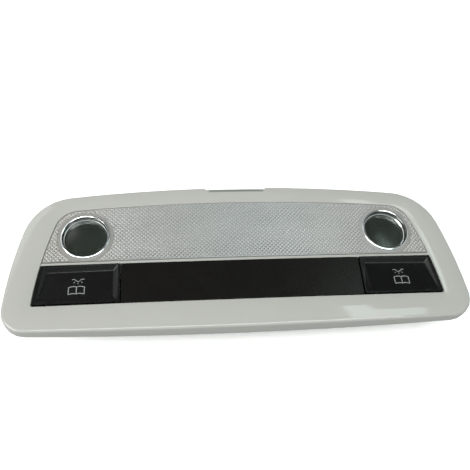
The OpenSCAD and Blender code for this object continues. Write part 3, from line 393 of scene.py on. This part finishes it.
def make_prisms():
    """A field of low pyramids in diagonal rows, cut off at a narrow border and at the lamps'
    collars."""
    tree = tree_of("diffuser_lens")
    level = lens_level(tree)
    low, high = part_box("diffuser_lens")
    mid_y = (low.y + high.y) / 2
    half = PRISM_PITCH / math.sqrt(2)
    known = {}
    made = {}
    bm = bmesh.new()

    def corner(i, j):
        return (i - j) * half, mid_y + (i + j) * half

    def plain(x, y):
        """True where the lens is plain here."""
        place, _ = drop_on(tree, x, y)
        return place is not None and abs(place.z - level(x)) < LENS_SLACK

    def inside(i, j):
        """True where the place i, j lies in the field, with its border round it."""
        if (i, j) not in known:
            x, y = corner(i, j)
            known[i, j] = all(
                plain(x + PRISM_BORDER * math.cos(a), y + PRISM_BORDER * math.sin(a))
                for a in [math.tau * k / BORDER_LOOKS for k in range(BORDER_LOOKS)])
        return known[i, j]

    def vertex(i, j):
        if (i, j) not in made:
            x, y = corner(i, j)
            side = max(abs(i % 1 - 0.5), abs(j % 1 - 0.5))
            rise = PRISM_HEIGHT * (1 - 2 * side) if inside(i, j) else 0
            made[i, j] = bm.verts.new((x, y, level(x) + rise))
        return made[i, j]

    def add_cut_pyramid(i, j):
        """The small triangles that lie in the field, of a pyramid that its edge cuts."""
        for a in range(CUT):
            for b in range(CUT):
                ring = [(i + (a + da) / CUT, j + (b + db) / CUT)
                        for da, db in ((0, 0), (1, 0), (1, 1), (0, 1))]
                if (a < CUT / 2) != (b < CUT / 2):
                    ring = ring[1:] + ring[:1]
                for three in ((ring[0], ring[1], ring[2]), (ring[0], ring[2], ring[3])):
                    if all(inside(*c) for c in three):
                        bm.faces.new([vertex(*c) for c in three])

    count = int((high.x + (high.y - low.y) / 2) / (2 * half)) + 2
    for i in range(-count, count):
        for j in range(-count, count):
            x, y = corner(i + 0.5, j + 0.5)
            if not (low.x < x < high.x and low.y < y < high.y):
                continue
            cell = [(i, j), (i + 1, j), (i + 1, j + 1), (i, j + 1)]
            if all(inside(*c) for c in cell + [(i + 0.5, j + 0.5)]):
                ring = [vertex(*c) for c in cell]
                apex = vertex(i + 0.5, j + 0.5)
                for a, b in zip(ring, ring[1:] + ring[:1]):
                    bm.faces.new((a, b, apex))
            else:
                add_cut_pyramid(i, j)
    # The prisms carry painted shade in the corners between them
    piece = add_piece("lens_prisms", bm, lens_material("prism_plastic", painted_shade=True))
    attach(piece, "lamp")


# Signs on the keys

SIGN_LIFT = 0.02 * MM
SIGN_FILL = 3  # stretches between two points of a stroke, so that it follows the dish
SIGN_X = 88.25 * MM

BOOK_LINE = 0.42 * MM
BOOK_LOW = -21.7 * MM
BOOK_HIGH = -17.5 * MM
BOOK_HALF_W = 4.1 * MM
BOOK_SAG = 0.4 * MM
PAGE_STEPS = 10
PAGE_SWELL = 1.15  # a page has its arch inside and lies flat at its outer end

SHADE_LINE = 0.336 * MM
SHADE_Y = -14.6 * MM
SHADE_HALF_W = 3.15 * MM
SHADE_DEPTH = 1.5 * MM
SHADE_SHIFT = 0.65 * MM
WING_STEPS = 12
WING_SWING = 2.1  # radians from the shade's middle to its tip, past its highest place

# The rays' two ends, from the shade's middle
RAYS = [((-1.75 * MM, -0.15 * MM), (-2.25 * MM, -0.85 * MM)),
        ((1.75 * MM, -0.15 * MM), (2.25 * MM, -0.85 * MM)),
        ((0, -0.75 * MM), (0, -1.55 * MM))]


def fill(points, count):
    """Points along straight stretches, close enough to follow a curved surface."""
    path = []
    for a, b in zip(points, points[1:]):
        path += [tuple(p + (q - p) * k / count for p, q in zip(a, b)) for k in range(count)]
    return path + [points[-1]]


def stroke(bm, tree, path, width):
    """Flat line of the given width, laid on a surface."""
    rows = []
    for k, (x, y) in enumerate(path):
        ax, ay = path[max(k - 1, 0)]
        bx, by = path[min(k + 1, len(path) - 1)]
        length = math.hypot(bx - ax, by - ay)
        nx, ny = -(by - ay) / length * width / 2, (bx - ax) / length * width / 2
        row = []
        for side in (-1, 0, 1):
            place, _ = drop_on(tree, x + side * nx, y + side * ny)
            row.append(bm.verts.new((place.x, place.y, place.z + SIGN_LIFT)))
        rows.append(row)
    join_rows(bm, rows)


def book_strokes(x0):
    """Two open pages, each with its top, outer and lower edge, and the spine between them."""
    pages = []
    for side in (-1, 1):
        top = []
        for t in [k / PAGE_STEPS for k in range(PAGE_STEPS + 1)]:
            arch = math.sin(math.pi * min(t * PAGE_SWELL, 1))
            top.append((x0 + side * BOOK_HALF_W * t, BOOK_HIGH - BOOK_SAG * (1 - arch)))
        bottom = [(x, y - (BOOK_HIGH - BOOK_LOW)) for x, y in reversed(top)]
        pages.append(top + bottom)
    spine = [(x0, BOOK_HIGH - BOOK_SAG), (x0, BOOK_LOW - BOOK_SAG)]
    return pages + [spine]


def shade_strokes(x0):
    """A lamp shade seen from the side, as a wing with drooping tips, and three rays under it, a
    little nearer the middle of the lamp than the book."""
    x0 -= math.copysign(SHADE_SHIFT, x0)
    wing = [(x0 + SHADE_HALF_W * t, SHADE_Y + SHADE_DEPTH * math.sin(WING_SWING * t) ** 2)
            for t in [k / WING_STEPS for k in range(-WING_STEPS, WING_STEPS + 1)]]
    return [wing] + [[(x0 + dx, SHADE_Y + dy) for dx, dy in ray] for ray in RAYS]


def make_signs():
    """An open book under a lamp shade, on each key."""
    ink = moulded("sign_ink", (0.23, 0.24, 0.235), tone=0.05, rough=(0.45, 0.6), grain=2500,
                  depth=0.003 * MM)
    for side, sign in SIDES.items():
        tree = tree_of("reading_button_" + side)
        for name, strokes, width in (("book", book_strokes, BOOK_LINE),
                                     ("shade", shade_strokes, SHADE_LINE)):
            bm = bmesh.new()
            for path in strokes(sign * SIGN_X):
                stroke(bm, tree, fill(path, SIGN_FILL), width)
            piece = add_piece(f"sign_{name}_{side}", bm, ink)
            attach(piece, side + "_button")


# Painted shade in the tool chamfer

STRIP_X = (-15.6 * MM, 16.2 * MM)
STRIP_W = 1.5 * MM
STRIP_LIFT = 0.02 * MM
STRIP_STEPS = 32
STRIP_ROWS = (0.02, 0.5, 1)  # shares of its width
EDGE_STEP = 0.05 * MM
EDGE_STEPS = 200
LOOKS_UP = 0.9  # least z of a normal on the face


def make_chamfer_shade():
    """A thin dark strip of painted shade along the chamfer for a trim tool, in the middle of the back edge,
    standing for the shade in its recess.
    """
    tree = tree_of("bezel")
    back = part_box("bezel")[1].y
    bm = bmesh.new()
    rows = []
    for k in range(STRIP_STEPS + 1):
        x = STRIP_X[0] + (STRIP_X[1] - STRIP_X[0]) * k / STRIP_STEPS
        edge = next(y for y in (back - EDGE_STEP * i for i in range(1, EDGE_STEPS))
                    if (drop_on(tree, x, y)[1] or Vector()).z > LOOKS_UP)
        places = [drop_on(tree, x, edge - STRIP_W * t)[0] for t in STRIP_ROWS]
        rows.append([bm.verts.new(place + Vector((0, 0, STRIP_LIFT))) for place in places])
    join_rows(bm, rows)
    # Painted shade: a dark sheet laid where the recess of the chamfer lies in shade
    shade_paint = moulded("chamfer_painted_shade", (0.155, 0.165, 0.15), tone=0.06, rough=(0.3, 0.42),
                      grain=2200, depth=0.004 * MM)
    piece = add_piece("release_painted_shade", bm, shade_paint)
    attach(piece, "lamp")


# The return springs

WIRE_R = 0.25 * MM
COIL_TURNS = 4
COIL_STEPS = 24 * COIL_TURNS
WIRE_SIDES = 12
FLAT_END = 0.06  # share of the wire that lies flat at each end


def coil_mesh(middle, foot, height, radius, sign):
    """Round wire in a coil that is flat at both ends. The left one winds the other way round."""
    bm = bmesh.new()
    rings = []
    for k in range(COIL_STEPS + 1):
        a = math.tau * COIL_TURNS * k / COIL_STEPS
        share = min(max((k / COIL_STEPS - FLAT_END) / (1 - 2 * FLAT_END), 0), 1)
        level = foot + WIRE_R + (height - 2 * WIRE_R) * share
        ring = []
        for s in range(WIRE_SIDES):
            b = math.tau * s / WIRE_SIDES
            r = radius + WIRE_R * math.cos(b)
            ring.append(bm.verts.new((middle.x + sign * r * math.cos(a),
                                      middle.y + r * math.sin(a), level + WIRE_R * math.sin(b))))
        rings.append(ring)
    join_rows(bm, [ring + ring[:1] for ring in rings])
    bm.faces.new(rings[0])
    bm.faces.new(rings[-1])
    return bm


def make_springs():
    """Coils that stand for the solid springs."""
    for side, sign in SIDES.items():
        node = "return_spring_" + side
        joint = side + "_plunger_slide"
        row = next(j for j in frame["joints"] if j["name"] == joint)
        foot = row["deforming_nodes"][0]["fixed_end_z_m"]
        low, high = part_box(node)
        middle = (low + high) / 2
        height = 2 * (middle.z - foot)
        radius = (high.x - low.x) / 2 - WIRE_R
        bm = coil_mesh(middle, foot, height, radius, sign)
        piece = add_piece("return_coil_" + side, bm, FINISHES["spring_steel"])
        piece.modifiers.new("shading", "NODES").node_group = SMOOTH
        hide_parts(node)
        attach(piece, "lamp")
        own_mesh(piece)


# The floor

FLOOR_REACH = 6.0
FLOOR_CELLS = 8
PAPER_FOR_LAMP = (0.4, 0.4, 0.4)
PAPER_FOR_EYE = (0.96, 0.96, 0.96)
PAPER_GLOW = 0.14  # only for the eye
PAPER_ROUGHNESS = 0.85


def make_floor():
    """White paper that throws less light back on the lamp than it shows."""
    mat, tree, shader = new_material("floor_paper")
    shader.inputs["Roughness"].default_value = PAPER_ROUGHNESS
    seen = tree.nodes.new("ShaderNodeLightPath").outputs["Is Camera Ray"]
    tree.links.new(ramp(tree, seen, PAPER_FOR_LAMP, PAPER_FOR_EYE), shader.inputs["Base Color"])
    tree.links.new(maths(tree, "MULTIPLY", seen, PAPER_GLOW), shader.inputs["Emission Strength"])
    bm = bmesh.new()
    bmesh.ops.create_grid(bm, x_segments=FLOOR_CELLS, y_segments=FLOOR_CELLS, size=FLOOR_REACH)
    floor = add_mesh("floor", bm, mat)
    floor.location.z = cad_low.z


# Sky and lights

# The sky: its colour, the direction that the lamp's face mirrors, the strength away from it and
# in it, and the strength in front and behind, each with the values that it changes between
SKY_COLOUR = (0.94, 0.985, 0.975, 1)
SKY_MIRRORED = Vector((0.15, 0.5, 0.85)).normalized()
SKY_AWAY, SKY_IN = 1.0, 0.06
SKY_AWAY_AT, SKY_IN_AT = 0.4, 0.82
SKY_FRONT, SKY_BEHIND = 0.45, 1.0
SKY_FRONT_AT, SKY_BEHIND_AT = -0.7, 0.1

# The lights: place and size in metres, watts, colour, and whether it faces the lamp rather than
# straight down. The two windows are what the rim's front mirrors.
LIGHTS = {
    "top_box": ((0.05, -0.42, 1.6), (1.7, 0.6), 24.6, (0.965, 1.0, 0.985), True),
    "left_box": ((-1.2, -0.36, 1.0), (0.9, 0.7), 17.0, (1.0, 0.98, 0.955), True),
    "back_box": ((-0.9, 1.1, 1.3), (0.5, 0.6), 1.6, (1, 1, 1), True),
    "window_left": ((0.57, 0.43, 1.3), (0.1, 0.38), 0.45, (0.8, 1.0, 0.93), False),
    "window_right": ((0.71, 0.36, 1.3), (0.18, 0.22), 0.38, (0.8, 1.0, 0.93), False),
}


def make_sky():
    """A sky that is pale low down behind and beside the lamp, dim in front and dark where the
    face mirrors it."""
    world = bpy.data.worlds.new("studio")
    world.use_nodes = True
    tree = world.node_tree
    background = tree.nodes["Background"]
    place = coordinates(tree, "Generated")
    slant = tree.nodes.new("ShaderNodeVectorMath")
    slant.operation = "DOT_PRODUCT"
    slant.inputs[1].default_value = SKY_MIRRORED
    tree.links.new(place, slant.inputs[0])
    _, y, _ = split(tree, place)
    dark = spread(tree, slant.outputs["Value"], SKY_AWAY, SKY_IN, SKY_AWAY_AT, SKY_IN_AT)
    pale = spread(tree, y, SKY_FRONT, SKY_BEHIND, SKY_FRONT_AT, SKY_BEHIND_AT)
    tree.links.new(maths(tree, "MULTIPLY", dark, pale), background.inputs["Strength"])
    background.inputs["Color"].default_value = SKY_COLOUR
    bpy.context.scene.world = world


def make_lights():
    """The rectangular lights of the table."""
    for name, (place, size, watts, colour, faces_lamp) in LIGHTS.items():
        data = bpy.data.lights.new(name, "AREA")
        data.shape = "RECTANGLE"
        data.size, data.size_y = size
        data.energy = watts
        data.color = colour
        light = bpy.data.objects.new(name, data)
        light.location = place
        if faces_lamp:
            light.rotation_euler = (-Vector(place)).to_track_quat("-Z", "Y").to_euler()
        bpy.context.scene.collection.objects.link(light)


# The camera as fitted to the photograph: place in millimetres, angles in degrees, focal length in
# pixels of the square picture, and the nearest and furthest thing in view in metres
CAMERA_PLACE = (-45.0, -164.65, 349.8)
CAMERA_YAW, CAMERA_PITCH, CAMERA_ROLL = 13.63, -30.08, -10.49
FOCAL_PIXELS, PICTURE_PIXELS = 643.0, 470.0
SENSOR = 36.0
CLIP_NEAR, CLIP_FAR = 0.01, 50


def make_camera():
    data = bpy.data.cameras.new("photo_camera")
    data.sensor_width = SENSOR
    data.lens = SENSOR * FOCAL_PIXELS / PICTURE_PIXELS
    data.clip_start, data.clip_end = CLIP_NEAR, CLIP_FAR
    camera = bpy.data.objects.new("photo_camera", data)
    turn = (Matrix.Rotation(math.radians(CAMERA_ROLL), 3, "Z")
            @ Matrix.Rotation(math.radians(CAMERA_PITCH), 3, "X")
            @ Matrix.Rotation(math.radians(CAMERA_YAW), 3, "Z"))
    camera.matrix_world = Matrix.Translation(Vector(CAMERA_PLACE) * MM) @ turn.transposed().to_4x4()
    bpy.context.scene.collection.objects.link(camera)
    bpy.context.scene.camera = camera


bpy.context.scene.view_settings.view_transform = "Standard"
dress_nodes()
make_prisms()
make_signs()
make_chamfer_shade()
make_springs()
make_floor()
make_sky()
make_lights()
make_camera()
